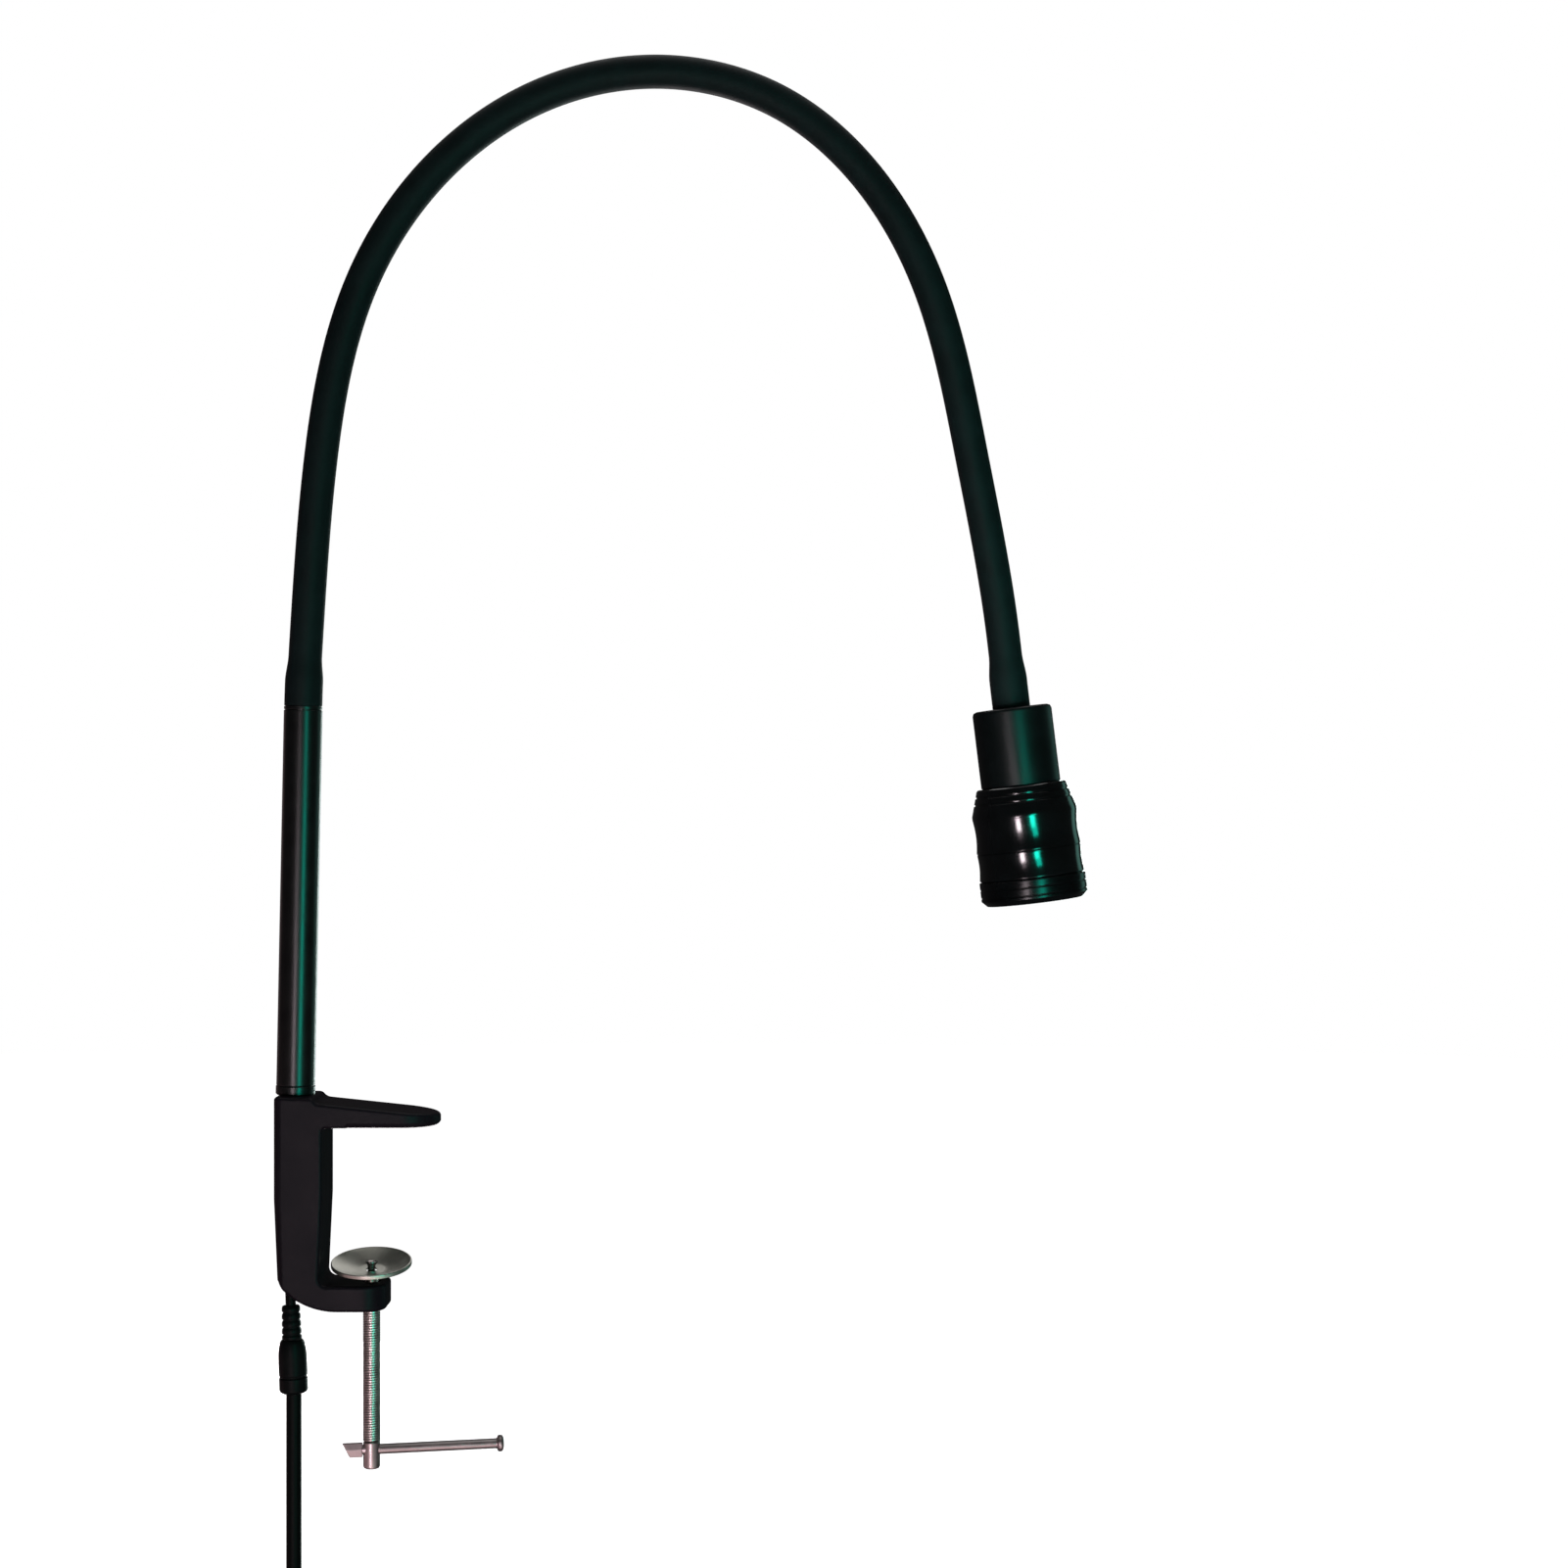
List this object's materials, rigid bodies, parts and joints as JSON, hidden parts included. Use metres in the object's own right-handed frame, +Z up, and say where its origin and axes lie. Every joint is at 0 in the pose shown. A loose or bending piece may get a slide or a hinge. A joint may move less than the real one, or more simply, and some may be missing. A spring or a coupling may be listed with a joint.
{
  "type": "uv curing lamp",
  "caption": "Clamp-on resin curing lamp: a C-clamp with a T-bar screw, a straight post, a flexible gooseneck arch and a turned lamp head that shines down on the work.",
  "frame": {"origin": "on the underside of the clamp's upper jaw, on the axis of the clamp screw", "axes": "+Z up along the screw and the post, +X from the post towards the tip of the jaw and the lamp head"},
  "size_m": [0.3711, 0.0434, 0.7713],
  "materials": {
    "cast_black": "satin",
    "post_black": "gloss",
    "sleeve_black": "matte",
    "core_steel": "satin",
    "satin_black": "satin",
    "gloss_black": "gloss",
    "nickel": "satin",
    "brass": "satin",
    "glass": "polished",
    "reflector": "polished",
    "seal_rubber": "matte",
    "board_white": "satin",
    "board_green": "satin",
    "emitter": "satin",
    "cord_black": "satin",
    "tie_black": "matte"
  },
  "bodies": {
    "base": {"clamp_frame": "cast_black", "post_foot_ring": "post_black", "post_tube": "post_black", "post_nipple": "nickel", "post_foot_plug": "brass", "post_top_plug": "brass", "lower_ferrule": "nickel", "gooseneck_sleeve_0": "sleeve_black", "gooseneck_core_0": "core_steel", "lamp_lead": "cord_black", "jack_boot": "cord_black", "jack_body": "cord_black", "dc_plug": "cord_black", "dc_plug_tip": "nickel", "supply_cord": "cord_black", "supply_coil": "cord_black", "cord_tie": "tie_black", "usb_body": "cord_black", "usb_shell": "nickel", "usb_tongue": "board_white"},
    "neck_1": {"gooseneck_sleeve_1": "sleeve_black", "gooseneck_core_1": "core_steel"},
    "neck_2": {"gooseneck_sleeve_2": "sleeve_black", "gooseneck_core_2": "core_steel"},
    "neck_3": {"gooseneck_sleeve_3": "sleeve_black", "gooseneck_core_3": "core_steel"},
    "neck_4": {"gooseneck_sleeve_4": "sleeve_black", "gooseneck_core_4": "core_steel"},
    "neck_5": {"gooseneck_sleeve_5": "sleeve_black", "gooseneck_core_5": "core_steel"},
    "neck_6": {"gooseneck_sleeve_6": "sleeve_black", "gooseneck_core_6": "core_steel"},
    "head": {"gooseneck_sleeve_7": "sleeve_black", "gooseneck_core_7": "core_steel", "upper_ferrule": "nickel", "ferrule_nut": "nickel", "lamp_neck": "satin_black", "driver_board": "board_green", "driver_coil": "seal_rubber", "lamp_barrel": "gloss_black", "led_board": "board_white", "led_package": "emitter", "led_dome": "glass", "reflector": "reflector", "lens_seal": "seal_rubber", "lens_window": "glass", "bezel_ring": "gloss_black"},
    "screw": {"clamp_spindle": "nickel", "pad_rivet": "nickel"},
    "pad": {"pressure_pad": "nickel"},
    "bar": {"tommy_bar": "nickel"}
  },
  "joints": [
    {"name": "neck_bend_1", "type": "hinge", "parent": "base", "child": "neck_1", "pos_m": [-0.02559, 0, 0.2159], "axis": [0, 1, 0], "range_deg": [-25, 14]},
    {"name": "neck_sway_2", "type": "hinge", "parent": "neck_1", "child": "neck_2", "pos_m": [-0.01462, 0, 0.30974], "axis": [-0.9761, 0, 0.2175], "range_deg": [-25, 25]},
    {"name": "neck_bend_3", "type": "hinge", "parent": "neck_2", "child": "neck_3", "pos_m": [0.02862, 0, 0.39232], "axis": [0, 1, 0], "range_deg": [-25, 14]},
    {"name": "neck_sway_4", "type": "hinge", "parent": "neck_3", "child": "neck_4", "pos_m": [0.11294, 0, 0.42987], "axis": [-0.0261, 0, 0.9997], "range_deg": [-25, 25]},
    {"name": "neck_bend_5", "type": "hinge", "parent": "neck_4", "child": "neck_5", "pos_m": [0.19692, 0, 0.39345], "axis": [0, 1, 0], "range_deg": [-25, 14]},
    {"name": "neck_sway_6", "type": "hinge", "parent": "neck_5", "child": "neck_6", "pos_m": [0.23755, 0, 0.30927], "axis": [0.9735, 0, 0.2286], "range_deg": [-25, 25]},
    {"name": "neck_bend_7", "type": "hinge", "parent": "neck_6", "child": "head", "pos_m": [0.2555, 0, 0.21644], "axis": [0, 1, 0], "range_deg": [-25, 14]},
    {"name": "screw_travel", "type": "slide", "parent": "base", "child": "screw", "axis": [0, 0, 1], "range_m": [-0.0025, 0.05]},
    {"name": "pad_tilt", "type": "hinge", "parent": "screw", "child": "pad", "pos_m": [0, 0, -0.0596], "axis": [1, 0, 0], "range_deg": [-27, 0]},
    {"name": "bar_slide", "type": "slide", "parent": "screw", "child": "bar", "axis": [0.9781, 0.2079, 0], "range_m": [-0.0475, 0]}
  ]
}
